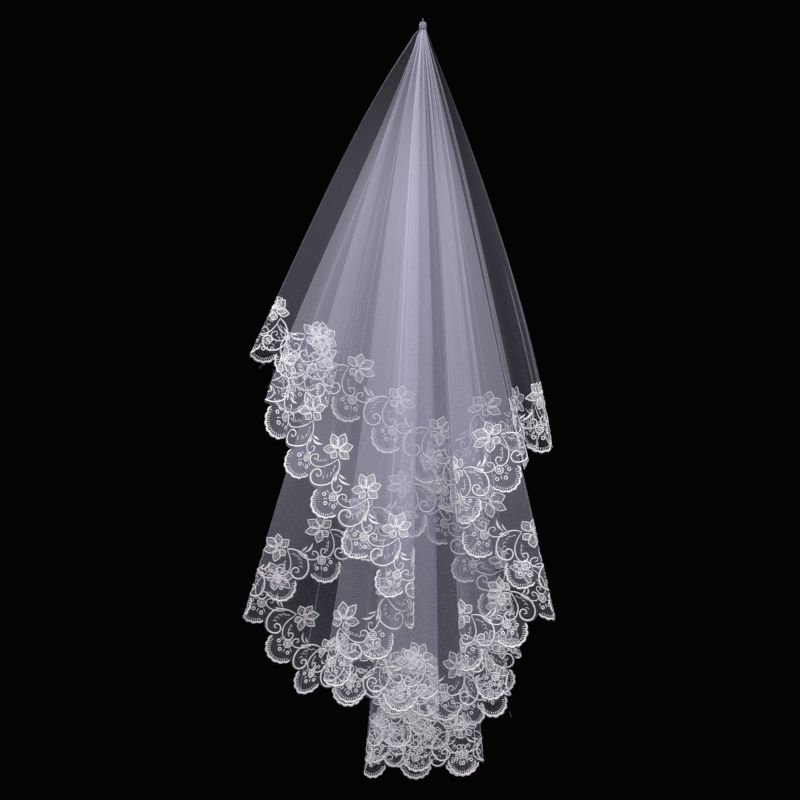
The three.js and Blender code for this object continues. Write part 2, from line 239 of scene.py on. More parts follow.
def hung(cloth, reach):
    """Where a point of the cloth hangs, with the soft flutes."""
    height = sum(
        size * np.sin(np.radians(waves * cloth) + drift * (reach / FLARE_END + waves))
        for waves, drift, size in FLUTES
    )
    height = height * smooth_step(reach, FLUTES_START, FLUTES_FULL)
    return folded(cloth, reach) + way_out(folded, cloth, reach) * height[..., None]


def cut_reach(cloth):
    """Reach of the line through the tips of the fans."""
    across = -np.cos(np.radians(cloth))
    forward = np.sin(np.radians(cloth))
    near = np.zeros_like(cloth)
    far = np.full_like(cloth, CUT_LEFT + CUT_BACK)
    for _ in range(40):
        reach = (near + far) / 2
        size = (
            abs((reach * across - (CUT_RIGHT - CUT_LEFT) / 2) / ((CUT_LEFT + CUT_RIGHT) / 2)) ** CUT_POWER
            + abs((reach * forward - (CUT_FRONT - CUT_BACK) / 2) / ((CUT_FRONT + CUT_BACK) / 2)) ** CUT_POWER
        )
        near = np.where(size < 1, reach, near)
        far = np.where(size < 1, far, reach)
    return near


class Hem:
    """The line through the tips of the fans, measured by its length as it hangs."""

    SAMPLES = 7200
    WAY_SPAN = 0.045

    def __init__(self):
        self.fold = np.linspace(0, 360, self.SAMPLES + 1)
        self.reach = cut_reach(np.interp(self.fold, ANGLES, CLOTH_ANGLES))
        self.s = lengths_along(at_fold(self.fold, self.reach))
        middle = at_fold(self.fold, self.reach - LACE_HEIGHT / 2)
        middle[:, 2] -= FOLDS_MEET
        self.turn = lengths_along(unit(middle))
        self.length = self.s[-1]
        self.repeat = self.length / REPEATS

    def rolled_out(self, s):
        """Reach and turn round the meeting point, in radians, with the hanging cloth rolled out flat."""
        laps = np.floor(s / self.length)
        s = s - laps * self.length
        return np.interp(s, self.s, self.reach), np.interp(s, self.s, self.turn) + laps * self.turn[-1]

    def spot(self, s, v):
        """Cloth angle and reach of the point that lies v inwards from the hem at s."""
        reach, turn = self.rolled_out(s)
        before, turn_before = self.rolled_out(s - self.WAY_SPAN)
        after, turn_after = self.rolled_out(s + self.WAY_SPAN)
        rise = after - before
        run = (turn_after - turn_before) * reach
        size = np.hypot(rise, run)
        down = reach - v * run / size
        across = v * rise / size
        turn = np.mod(turn + np.arctan2(across, down), self.turn[-1])
        return cloth_at(np.interp(turn, self.turn, self.fold)), np.hypot(down, across)

    def turn_of(self, cloth):
        return np.interp(fold_of(cloth), self.fold, self.turn)


hem = Hem()


def flat_place(cloth, reach):
    """Where a point of the cloth lies on the sheet laid flat, in metres."""
    angle = np.radians(cloth)
    return -np.cos(angle) * reach, np.sin(angle) * reach


def scallop(u):
    """How far the cloth's edge lies inside the tips' line, at u from a fan's tip."""
    u = abs(np.mod(u + hem.repeat / 2, hem.repeat) - hem.repeat / 2)
    fan = 1 - np.sqrt(1 - np.clip(u / (FAN_HALF_WIDTH * FAN_ROUNDNESS), 0, 1) ** 2)
    corner = 1 - math.sqrt(1 - 1 / FAN_ROUNDNESS**2)
    lobe = np.sin(np.pi * np.clip((u - FAN_HALF_WIDTH) / (hem.repeat - 2 * FAN_HALF_WIDTH), 0, 1))
    return np.where(u < FAN_HALF_WIDTH, FAN_RISE * np.minimum(fan / corner, 1), FAN_RISE - LOBE_SAG * lobe)


def new_mesh(name, vertices, faces, uv=None, values=None):
    """An object from arrays of vertices, quads, one UV pair a vertex and named values a vertex."""
    mesh = bpy.data.meshes.new(name)
    vertices = np.asarray(vertices, np.float32).reshape(-1, 3)
    faces = np.asarray(faces, np.int32)
    sides = faces.shape[1]
    mesh.vertices.add(len(vertices))
    mesh.vertices.foreach_set("co", vertices.ravel())
    mesh.loops.add(faces.size)
    mesh.loops.foreach_set("vertex_index", faces.ravel())
    mesh.polygons.add(len(faces))
    mesh.polygons.foreach_set("loop_start", np.arange(0, faces.size, sides, dtype=np.int32))
    mesh.polygons.foreach_set("use_smooth", np.full(len(faces), True))
    if uv is not None:
        layer = mesh.uv_layers.new(name="cloth")
        layer.data.foreach_set("uv", np.asarray(uv, np.float32).reshape(-1, 2)[faces.ravel()].ravel())
    for key, numbers in (values or {}).items():
        layer = mesh.attributes.new(key, "FLOAT", "POINT")
        layer.data.foreach_set("value", np.asarray(numbers, np.float32).ravel())
    mesh.update()
    mesh.validate()
    made = bpy.data.objects.new(name, mesh)
    bpy.context.scene.collection.objects.link(made)
    return made


def grid_faces(columns, rows, closed):
    """Quads of a grid whose vertex i * rows + j is column i, row j."""
    i = np.arange(columns if closed else columns - 1)
    j = np.arange(rows - 1)
    i, j = np.meshgrid(i, j, indexing="ij")
    after = (i + 1) % columns
    quads = [i * rows + j, after * rows + j, after * rows + j + 1, i * rows + j + 1]
    return np.stack([q.ravel() for q in quads], -1)


def head_ring(cloth, level):
    """One level of the gathers, shaped as the folds just below them are."""
    reach = np.full_like(cloth, HEAD_SHAPE_REACH)
    shape = folded(cloth, reach)
    fine = folded(np.linspace(0, 360, 1441), np.full(1441, HEAD_SHAPE_REACH))
    low, high = fine.min(0), fine.max(0)
    share = (shape - low) / (high - low)
    drop, left, right, front, back = HEAD[level]
    x = -left + (left + right) * share[:, 0]
    y = -front + (front + back) * share[:, 1]
    return np.stack([x, y, np.full_like(x, -drop)], -1)


# Columns and rows of the net's grid: columns to each repeat of the lace, more of them beside each fold
# edge, the reaches of the upper rows, and how many rows follow down to the lace and within it
COLUMNS_PER_REPEAT = 24
EDGE_COLUMNS = (-0.008, -0.005, -0.0025, -0.001, 0.001, 0.0025, 0.005, 0.008)
CLOSEST_COLUMNS = 0.0004
UPPER_REACHES = (0.045, 0.052, 0.06, 0.072, 0.088, 0.11, 0.135, 0.165, 0.2, 0.24, 0.285, 0.335, 0.39, 0.45)
MIDDLE_ROWS = 12
BAND_ROWS = 7
NECK_ROW_SPACING = 0.01

# Pressed creases of the net: the cloth angle, how strong the crease is, and the reaches between which
# it shows. The fold edges come first, as named in FOLDS, and run down the whole length of the cloth.
EDGE_CREASES = {
    "left_flap": 1.0, "left_inner": 0.6, "front_left": 1.0, "front_left_turn": 0.7, "front_turn": 0.9,
    "front_middle": 0.5, "middle_return": 0.6, "centre_left": 1.0, "centre_inner": 0.9,
    "front_end_left": 0.9, "front_end_turn": 0.8, "front_end_right": 0.9, "right_inner": 0.8,
    "right_side": 1.0, "front_right_inner": 0.9, "front_right_turn": 0.7, "front_right": 1.0, "right_tuck": 0.8,
    "right_flap": 1.0, "back_right": 0.7, "back_middle_turn": 0.6, "back_middle": 0.7, "back_lobe": 1.0,
    "back_end_return": 0.8, "back_end_right": 0.9, "back_end_left": 0.9, "back_inner": 0.8,
    "back_left_turn": 0.9, "back_left": 0.9, "back_centre": 1.0,
}
SLIGHT_CREASES = [
    (26.5, 0.4, 0.2, 0.7), (51.0, 0.4, 0.3, 1.0), (74.5, 0.4, 0.3, 1.2), (119.0, 0.4, 0.4, 1.1),
    (133.0, 0.5, 0.3, 1.0), (173.0, 0.6, 0.45, 0.8), (231.0, 0.4, 0.5, 1.3), (254.0, 0.4, 0.5, 1.4),
    (303.0, 0.4, 0.3, 1.0), (334.0, 0.4, 0.3, 0.8),
]
CREASE_FADE = 0.12
WHOLE_LENGTH = 9.0

# How densely the net's finest pleats lie, next to flat net: the cloth angle and the density there. They
# are loosest at the gathers, whole from PLEATS_FULL on, and open out again between the PLEATS_OPEN reaches.
PLEATING = np.array([
    (0, 0.45), (20, 0.55), (32, 1.1), (42, 1.9), (70, 2.0), (82, 1.5), (115, 1.25), (150, 1.2), (160, 0.7),
    (168, 0.33), (181, 0.26), (190, 0.28), (205, 0.6), (230, 0.75), (275, 0.9), (288, 1.4), (298, 1.5),
    (305, 0.8), (318, 0.7), (335, 0.55), (360, 0.45),
])
PLEATS_START = 0.3
PLEATS_FULL = 0.4
PLEATS_OPEN = (0.8, 1.15)
OPEN_DENSITY = 0.65


def crease_table():
    rows = [(FOLDS[name][0], strength, 0.0, WHOLE_LENGTH) for name, strength in EDGE_CREASES.items()]
    return np.array(sorted(rows + SLIGHT_CREASES))


def creases(cloth, reach):
    """How far a point lies from the nearest crease, with a sign that turns from one crease to the next
    so that it runs on smoothly between them, and how strong that crease is there."""
    rows = crease_table()
    assert len(rows) % 2 == 0
    lap = hem.turn[-1]
    off = np.mod(hem.turn_of(cloth)[..., None] - hem.turn_of(rows[:, 0]) + lap / 2, lap) - lap / 2
    nearest = abs(off).argmin(-1)
    off = np.take_along_axis(off, nearest[..., None], -1)[..., 0]
    sign = np.where(nearest % 2 == 0, 1, -1)
    _, strength, start, end = rows[nearest].T
    start, end, strength = start.T, end.T, strength.T
    shown = smooth_step(reach, start, start + CREASE_FADE) * (1 - smooth_step(reach, end - CREASE_FADE, end))
    return sign * off * reach, strength * np.where(start > 0, shown, 1)


def pleating(cloth, reach):
    """How densely the net's finest pleats lie at a point, next to flat net."""
    across = np.interp(np.mod(cloth, 360), *PLEATING.T)
    gathered = PLEATS_START + (1 - PLEATS_START) * smooth_step(reach, 0, PLEATS_FULL)
    opened = 1 - (1 - OPEN_DENSITY) * smooth_step(reach, *PLEATS_OPEN)
    return across * gathered * opened


def net_columns():
    """Places along the hem of the net's columns: even ones, and more beside each fold edge."""
    even = np.arange(REPEATS * COLUMNS_PER_REPEAT) * hem.repeat / COLUMNS_PER_REPEAT
    cloth, _ = hem.spot(even, LACE_HEIGHT)
    order = np.argsort(cloth)
    edges = np.interp(ROW_ANGLES[:-1], cloth[order], even[order])
    places = np.concatenate([even, np.add.outer(edges, np.array(EDGE_COLUMNS)).ravel()])
    places = np.sort(np.mod(places, hem.length))
    return places[np.diff(np.append(places, places[0] + hem.length)) > CLOSEST_COLUMNS]


def make_net():
    """The whole sheet, from the neck of the gathers down to its scalloped edge."""
    s = net_columns()
    cloth, band_reach = hem.spot(s, LACE_HEIGHT)
    rows = []
    spots = []
    for k, level in enumerate(range(NECK_LEVEL, len(HEAD))):
        rows.append(head_ring(cloth, level))
        spots.append((cloth, np.full_like(cloth, NECK_ROW_SPACING * (k + 1))))
    reaches = [np.full_like(cloth, reach) for reach in UPPER_REACHES]
    last = reaches[-1]
    for k in range(1, MIDDLE_ROWS + 1):
        reaches.append(last + (band_reach - last) * k / MIDDLE_ROWS)
    spots += [(cloth, reach) for reach in reaches]
    edge = scallop(s - FIRST_FAN)
    for k in range(1, BAND_ROWS + 1):
        spots.append(hem.spot(s, LACE_HEIGHT + (edge - LACE_HEIGHT) * k / BAND_ROWS))
    rows += [hung(*spot) for spot in spots[len(rows):]]
    marks = [creases(*spot) for spot in spots]
    vertices = np.stack(rows, 1)
    uv = np.stack([np.stack(flat_place(*spot), -1) for spot in spots], 1)
    values = {
        "from_crease": np.stack([mark[0] for mark in marks], 1),
        "crease_strength": np.stack([mark[1] for mark in marks], 1),
        "pleating": np.stack([pleating(*spot) for spot in spots], 1),
    }
    return new_mesh("veil_net", vertices, grid_faces(len(s), len(rows), True), uv, values)


def smooth_line(points, spacing, closed=False):
    """A smooth line through points, with about the given spacing. Each point is u, v in millimetres."""
    p = np.array(points, float) * MM
    n = len(p)
    spans = n if closed else n - 1
    line = []
    for i in range(spans):
        a = p[(i - 1) % n] if closed or i > 0 else 2 * p[0] - p[1]
        b = p[i]
        c = p[(i + 1) % n]
        d = p[(i + 2) % n] if closed or i + 2 < n else 2 * p[-1] - p[-2]
        parts = max(1, round(np.linalg.norm(c - b) / (spacing * MM)))
        t = (np.arange(parts) / parts)[:, None]
        line.append(
            0.5 * (2 * b + (c - a) * t + (2 * a - 5 * b + 4 * c - d) * t**2 + (3 * b - a - 3 * c + d) * t**3)
        )
    if not closed:
        line.append(p[-1:])
    return np.concatenate(line)


CORD_UV_STEP = 0.001


class Stitches:
    """Cords of embroidery for one repeat, laid out on every repeat of the hem as one mesh."""

    def __init__(self, name):
        self.name = name
        self.strokes = []

    def cord(self, line, width, height=0.55, closed=False, taper=0.0):
        """A cord along a line of u, v in metres. Width and height are halves, in millimetres."""
        count = len(line)
        size = np.ones(count)
        if taper and not closed:
            t = np.linspace(0, 1, count)
            size = 1 - taper * (2 * abs(t - 0.5)) ** 2.5
        self.strokes.append((np.asarray(line), np.broadcast_to(width, count) * size * MM,
                             np.full(count, height * MM) * size, closed))

    def make(self):
        vertices, faces, uv = [], [], []
        start = 0
        centres = FIRST_FAN + np.arange(REPEATS) * hem.repeat
        for line, width, height, closed in self.strokes:
            count = len(line)
            s = centres[:, None] + line[None, :, 0]
            v = np.broadcast_to(line[None, :, 1], s.shape)
            cloth, reach = hem.spot(s, v)
            point = hung(cloth, reach)
            normal = way_out(hung, cloth, reach)
            if closed:
                ahead = np.roll(point, -1, 1) - np.roll(point, 1, 1)
            else:
                ahead = np.gradient(point, axis=1)
            across = unit(np.cross(normal, ahead))
            w = width[None, :, None]
            h = height[None, :, None]
            ring = np.stack([point + across * w, point + normal * h,
                             point - across * w, point - normal * h], 2)
            spans = count if closed else count - 1
            i = np.arange(spans)
            after = (i + 1) % count
            quads = []
            for k in range(4):
                m = (k + 1) % 4
                quads.append(np.stack([i * 4 + k, after * 4 + k, after * 4 + m, i * 4 + m], -1))
            quads = np.concatenate(quads)
            if not closed:
                end = (count - 1) * 4
                quads = np.concatenate([quads, [[0, 1, 2, 3], [end + 3, end + 2, end + 1, end]]])
            offsets = start + np.arange(REPEATS) * count * 4
            faces.append((quads[None] + offsets[:, None, None]).reshape(-1, 4))
            vertices.append(ring.reshape(-1, 3))
            far = lengths_along(line)
            pair = np.stack([np.broadcast_to(far[:, None], (count, 4)),
                             np.broadcast_to(np.arange(4) * CORD_UV_STEP, (count, 4))], -1)
            uv.append(np.broadcast_to(pair, (REPEATS, count, 4, 2)).reshape(-1, 2))
            start += REPEATS * count * 4
        return new_mesh(self.name, np.concatenate(vertices), np.concatenate(faces), np.concatenate(uv))


class Patches:
    """Flat or ridged fields of stitches for one repeat, laid out on every repeat as one mesh."""

    def __init__(self, name):
        self.name = name
        self.fields = []

    def leaf(self, axis, half_width, height, across=5):
        """A pointed field along an axis of u, v in metres, widest near its middle."""
        axis = np.asarray(axis)
        count = len(axis)
        t = np.linspace(0, 1, count)
        ahead = unit(np.gradient(axis, axis=0))
        left = np.stack([-ahead[:, 1], ahead[:, 0]], -1)
        width = half_width * MM * petal_width(t)
        k = np.linspace(-1, 1, across)
        grid = axis[:, None] + left[:, None] * (width[:, None] * k[None])[..., None]
        ridge = height * MM * (1 - k[None] ** 2) * np.sin(np.pi * np.clip(t, 0.04, 0.96))[:, None]
        self.fields.append((grid, ridge))

    def make(self):
        vertices, faces, uv = [], [], []
        start = 0
        centres = FIRST_FAN + np.arange(REPEATS) * hem.repeat
        for grid, ridge in self.fields:
            rows, across = ridge.shape
            s = centres[:, None, None] + grid[None, :, :, 0]
            v = np.broadcast_to(grid[None, :, :, 1], s.shape)
            cloth, reach = hem.spot(s, v)
            point = hung(cloth, reach) + way_out(hung, cloth, reach) * ridge[None, :, :, None]
            quads = grid_faces(rows, across, False)
            offsets = start + np.arange(REPEATS) * rows * across
            faces.append((quads[None] + offsets[:, None, None]).reshape(-1, 4))
            vertices.append(point.reshape(-1, 3))
            uv.append(np.broadcast_to(grid, (REPEATS, rows, across, 2)).reshape(-1, 2))
            start += REPEATS * rows * across
        return new_mesh(self.name, np.concatenate(vertices), np.concatenate(faces), np.concatenate(uv))


def petal_width(t):
    """Share of its full half width that a petal or leaf has at t of its length."""
    return np.sin(np.pi * t**1.1) ** 1.2


def ray(centre, angle, start, end, steps=2):
    """A straight line from a centre, with the angle from the hem's inward way towards larger u."""
    far = np.linspace(start, end, steps)
    u = centre[0] + far * math.sin(math.radians(angle))
    v = centre[1] + far * math.cos(math.radians(angle))
    return np.stack([u, v], -1) * MM


def circle(centre, radius, steps, bumps=0, swell=0.0):
    angle = np.arange(steps) * 2 * math.pi / steps
    far = radius + swell * abs(np.sin(angle * bumps / 2))
    return np.stack([centre[0] + far * np.sin(angle), centre[1] + far * np.cos(angle)], -1) * MM


BIG_SCROLL = [(41, 90), (54, 84), (65, 71), (69, 54), (62, 37), (48, 28), (35.5, 31), (29.5, 40), (32, 49),
              (40, 52), (46, 47.5), (43.5, 41.5), (38.5, 43.5)]
INNER_SCROLL = [(41, 88), (40, 74), (35, 59), (24, 48), (12.5, 45.5), (5, 51), (5.5, 59), (11, 63.5),
                (16, 60), (14.5, 55), (10.5, 55.5)]
CURL = [(-35, 76), (-29, 63), (-18, 53), (-8, 50.5), (-1.5, 55), (-2, 62), (-7, 66), (-11, 62.5),
        (-8.5, 58.5)]
SPRIG_LEAVES = [
    ([(-30, 75), (-24, 76), (-18, 77.5), (-13, 80)], 1.7),
    ([(-27, 72), (-17, 71), (-8, 74), (0, 82)], 1.9),
    ([(-28, 70), (-24, 66), (-20.5, 60.5)], 1.6),
]
# Each petal's angle from the flower's centre, its length and its half width
FLOWER_CENTRE = (27, 97)
PETALS = [(-75, 34, 7.6), (-32, 33, 8.8), (18, 28, 8.0), (73, 26, 7.6), (165, 18, 6.5), (-134, 28, 7.6)]
STAMENS = [-80, -55, -30, -5, 20]
DAISY_CENTRE = (0, 44)
EYELETS = [-56, 0, 56]
EYELET_REACH = 18
DAISY_BARS = [-80, -27, 27, 80]
INNER_TICKS = [(20, 58), (24, 63), (28, 69)]
OUTER_TICKS = [(50, 77), (55, 71), (57, 64), (56, 57), (53, 50)]

# The corded rim of a fan: how far its middle lies inside the edge, how far each bump comes out, its half
# width and how much a bump swells, and the bumps of one fan with the steps of each. Then the teeth.
RIM_INSET = 2.6
RIM_BUMP = 1.9
RIM_HALF_WIDTH = 1.6
RIM_SWELL = 0.8
EDGE_BUMPS = 7
RIM_STEPS = 10
EDGE_TEETH = 19
TEETH_START = 3.2
TEETH_END = 9.0
TOOTH_HALF_WIDTH = 0.6

# Half widths of the cords, in millimetres
SCROLL_HALF_WIDTHS = (1.5, 1.15, 1.1)
PETAL_CORD = 1.0
INNER_CORD = 0.35
STAMEN_CORD = 0.8

# Where petals and stamens start and stamens end, from the flower's centre, and the inner outline's share
FLOWER_HEART = 2.5
STAMEN_END = 11
INNER_SHARE = 0.55

# The daisy: radii of its ring and heart, the spokes between them, and the bars and eyelets round it
DAISY_PETALS = 8
DAISY_RADIUS = 6.6
DAISY_SWELL = 1.3
DAISY_CORD = 1.05
HEART_RADIUS = 3.2
SPOKE_START = 3.8
SPOKE_END = 6.4
EYELET_RADIUS = 2.9
BAR_START = 11
BAR_END = 19
BAR_CORD = 0.85


def fan_contour(steps):
    """Points of one fan's edge with the inward way at each, in metres."""
    u = np.linspace(-1, 1, 401) * FAN_HALF_WIDTH
    fine = np.stack([u, scallop(u)], -1)
    far = lengths_along(fine)
    even = np.linspace(far[-1] * 0.01, far[-1] * 0.99, steps)
    line = np.stack([np.interp(even, far, fine[:, 0]), np.interp(even, far, fine[:, 1])], -1)
    ahead = unit(np.gradient(line, axis=0))
    return line, np.stack([-ahead[:, 1], ahead[:, 0]], -1)


def make_scallop_edge():
    lace = Stitches("lace_scallop_edge")
    line, inwards = fan_contour(EDGE_BUMPS * RIM_STEPS + 1)
    t = np.linspace(0, 1, len(line))
    bump = abs(np.sin(np.pi * EDGE_BUMPS * t))
    middle = line + inwards * (RIM_INSET - RIM_BUMP * bump)[:, None] * MM
    lace.cord(middle, RIM_HALF_WIDTH + RIM_SWELL * bump, height=0.8, taper=0.35)
    line, inwards = fan_contour(EDGE_TEETH)
    for point, way in zip(line[1:-1], inwards[1:-1]):
        tooth = np.stack([point + way * TEETH_START * MM, point + way * TEETH_END * MM])
        lace.cord(tooth, TOOTH_HALF_WIDTH, height=0.45)
    return lace.make()


def make_scrolls():
    lace = Stitches("lace_scrolls")
    for points, width in zip((BIG_SCROLL, INNER_SCROLL, CURL), SCROLL_HALF_WIDTHS):
        lace.cord(smooth_line(points, 2.6), width, height=0.8, taper=0.4)
    for u, v in INNER_TICKS:
        lace.cord(np.array([(u - 1.5, v - 3), (u + 1.5, v + 3)]) * MM, 0.5, height=0.4)
        lace.cord(np.array([(u - 4, v + 1.5), (u - 0.5, v - 0.5)]) * MM, 0.45, height=0.4)
    for u, v in OUTER_TICKS:
        lace.cord(np.array([(u - 4, v + 1), (u, v), (u + 1, v - 5)]) * MM, 0.55, height=0.4)
    return lace.make()


def petal_axis(angle, length, steps):
    return ray(FLOWER_CENTRE, angle, FLOWER_HEART, length, steps)


def petal_outline(angle, length, half_width, share, steps):
    """The outline of a petal shrunk to a share of its width, from the base round the tip and back."""
    axis = petal_axis(angle, FLOWER_HEART + (length - FLOWER_HEART) * (0.35 + 0.65 * share), steps)
    t = np.linspace(0, 1, steps)
    left = np.array([-math.cos(math.radians(angle)), math.sin(math.radians(angle))])
    width = (half_width * share * MM * petal_width(t))[:, None]
    return np.concatenate([axis + left * width, (axis - left * width)[-2:0:-1]])


def make_flowers():
    lace = Stitches("lace_flowers")
    for angle, length, half_width in PETALS:
        lace.cord(petal_outline(angle, length, half_width, 1.0, 12), PETAL_CORD, height=0.7, closed=True)
        inner = petal_outline(angle, length, half_width, INNER_SHARE, 8)
        lace.cord(inner, INNER_CORD, height=0.4, closed=True)
    for angle in STAMENS:
        lace.cord(ray(FLOWER_CENTRE, angle, FLOWER_HEART, STAMEN_END), STAMEN_CORD, height=1.2)
    return lace.make()


def make_petal_fill():
    fill = Patches("lace_petal_fill")
    for angle, length, half_width in PETALS:
        fill.leaf(petal_axis(angle, length, 8), half_width, 0.15, across=4)
    return fill.make()


def make_leaves():
    leaves = Patches("lace_leaves")
    for points, half_width in SPRIG_LEAVES:
        leaves.leaf(smooth_line(points, 3.0), half_width, 0.8)
    return leaves.make()


def make_daisies():
    lace = Stitches("lace_daisies")
    ring = circle(DAISY_CENTRE, DAISY_RADIUS, 32, bumps=DAISY_PETALS, swell=DAISY_SWELL)
    lace.cord(ring, DAISY_CORD, height=0.7, closed=True)
    lace.cord(circle(DAISY_CENTRE, HEART_RADIUS, 12), 0.8, height=0.6, closed=True)
    for k in range(DAISY_PETALS):
        lace.cord(ray(DAISY_CENTRE, k * 360 / DAISY_PETALS, SPOKE_START, SPOKE_END), 0.5, height=0.45)
    lace.cord(ray(DAISY_CENTRE, 60, -2.2, 2.2), 0.9, height=0.6)
    for angle in EYELETS:
        turn = math.radians(180 + angle)
        centre = (DAISY_CENTRE[0] + EYELET_REACH * math.sin(turn),
                  DAISY_CENTRE[1] + EYELET_REACH * math.cos(turn))
        lace.cord(circle(centre, EYELET_RADIUS, 12), DAISY_CORD, height=0.7, closed=True)
    for angle in DAISY_BARS:
        lace.cord(ray(DAISY_CENTRE, 180 + angle, BAR_START, BAR_END, 3), BAR_CORD, height=0.6, taper=0.5)
    return lace.make()


def carried_sides(path, first):
    """Two ways square to a path at each of its points, carried along it from a first one."""
    ahead = unit(np.gradient(path, axis=0))
    side = np.zeros_like(path)
    last = np.array(first)
    for i, way in enumerate(ahead):
        last = last - way * (last @ way)
        last = last / np.linalg.norm(last)
        side[i] = last
    return side, np.cross(ahead, side)


THREAD_SIDES = 6


def tube(path, radius, sides=THREAD_SIDES):
    """A round thread along a path of points, closed at both ends."""
    side, up = carried_sides(path, (0.31, 0.87, 0.38))
    turn = np.arange(sides) * 2 * math.pi / sides
    ring = path[:, None] + radius * (
        side[:, None] * np.cos(turn)[None, :, None] + up[:, None] * np.sin(turn)[None, :, None]
    )
    count = len(path)
    i, k = np.meshgrid(np.arange(count - 1), np.arange(sides), indexing="ij")
    m = (k + 1) % sides
    faces = np.stack([i * sides + k, i * sides + m, (i + 1) * sides + m, (i + 1) * sides + k], -1)
    half = sides // 2
    caps = []
    for start, flip in ((0, True), ((count - 1) * sides, False)):
        for k in range(half - 1):
            quad = [start + k, start + k + 1, start + sides - 2 - k, start + sides - 1 - k]
            caps.append(quad[::-1] if flip else quad)
    uv = np.stack([np.broadcast_to(lengths_along(path)[:, None], (count, sides)),
                   np.broadcast_to(turn * radius, (count, sides))], -1)
    return ring.reshape(-1, 3), np.concatenate([faces.reshape(-1, 4), np.array(caps)]), uv.reshape(-1, 2)


def join_tubes(name, tubes):
    vertices, faces, uv = [], [], []
    start = 0
    for ring, quads, pair in tubes:
        vertices.append(ring)
        faces.append(quads + start)
        uv.append(pair)
        start += len(ring)
    return new_mesh(name, np.concatenate(vertices), np.concatenate(faces), np.concatenate(uv))


def twisted(path, strands, spread, radius, pitch):
    """Strands of thread twisted round a path."""
    side, up = carried_sides(path, (1.0, 0.02, 0.01))
    made = []
    for k in range(strands):
        turn = lengths_along(path) / pitch * 2 * math.pi + k * 2 * math.pi / strands
        offset = spread * (side * np.cos(turn)[:, None] + up * np.sin(turn)[:, None])
        made.append(tube(path + offset, radius))
    return made


# The twisted threads: how far their strands lie from the middle, the strands' radius and the pitch
LOOP_TWIST = (0.0003, 0.0003, 0.0026)
BINDING_TWIST = (0.00022, 0.00026, 0.0022)
STRANDS = 2

# Points along the loop's arch and legs and the binding, how far the legs sink into the bulb's top, and how
# far the binding's ends lie inside its height
ARCH_POINTS = 61
LEG_POINTS = 17
FOOT_SINK = 0.0006
BINDING_TURNS = 3.5
BINDING_POINTS = 169
BINDING_INSET = 0.0004


def make_loop():
    """The hanging loop, two strands twisted together."""
    angle = np.linspace(0, math.pi, ARCH_POINTS)
    arch = np.stack([np.zeros(ARCH_POINTS), -LOOP_RADIUS * np.cos(angle),
                     LOOP_ARCH + LOOP_RADIUS * np.sin(angle)], -1)
    legs = np.linspace(LOOP_FOOT - FOOT_SINK, LOOP_ARCH, LEG_POINTS + 1)[:-1]
    left = np.stack([np.zeros(LEG_POINTS), np.full(LEG_POINTS, -LOOP_RADIUS), legs], -1)
    right = np.stack([np.zeros(LEG_POINTS), np.full(LEG_POINTS, LOOP_RADIUS), legs[::-1]], -1)
    path = np.concatenate([left, arch, right])
    return join_tubes("hang_thread", twisted(path, STRANDS, *LOOP_TWIST))


def make_binding():
    """The thread wound three and a half times round the neck."""
    angle = np.linspace(0, BINDING_TURNS * 2 * math.pi, BINDING_POINTS)
    z = np.linspace(BINDING_BOTTOM + BINDING_INSET, BINDING_TOP - BINDING_INSET, BINDING_POINTS)
    path = np.stack([BINDING_RADIUS * np.cos(angle), BINDING_RADIUS * np.sin(angle), z], -1)
    return join_tubes("neck_thread", twisted(path, STRANDS, *BINDING_TWIST))


# Loose ends of thread: the place along the hem, the distance inwards, and how far each end hangs to
# the side and down, with a sideways bow on the way
LOOSE_ENDS = [
    (0.054, 0.002, -0.011, 0.035, 0.004),
    (0.036, 0.002, -0.011, 0.009, -0.002),
    (2.121, 0.002, -0.004, 0.012, 0.006),
    (2.110, 0.002, 0.004, 0.014, 0.004),
    (1.606, 0.001, 0.003, 0.011, -0.002),
]
LOOSE_END_RADIUS = 0.00022


def make_loose_ends():
    """A few ends of thread that hang from the edge of the lace."""
    hairs = []
    t = np.linspace(0, 1, 9)
    for s, v, side, down, bow in LOOSE_ENDS:
        cloth, reach = hem.spot(np.array([s]), v)
        start = hung(cloth, reach)[0]
        path = np.stack([start[0] + side * t + bow * np.sin(np.pi * t),
                         np.full_like(t, start[1]), start[2] - down * t**1.2], -1)
        hairs.append(tube(path, LOOSE_END_RADIUS))
    return join_tubes("loose_thread_ends", hairs)


BULB_PLEATS = 38
BULB_PLEAT_DEPTH = 0.00045
BULB_COLUMNS = 760
BULB_ROWS = 22
BULB_CAP_SHARES = (0.8, 0.5, 0.12)
BULB_CAP_RISE = 0.0006


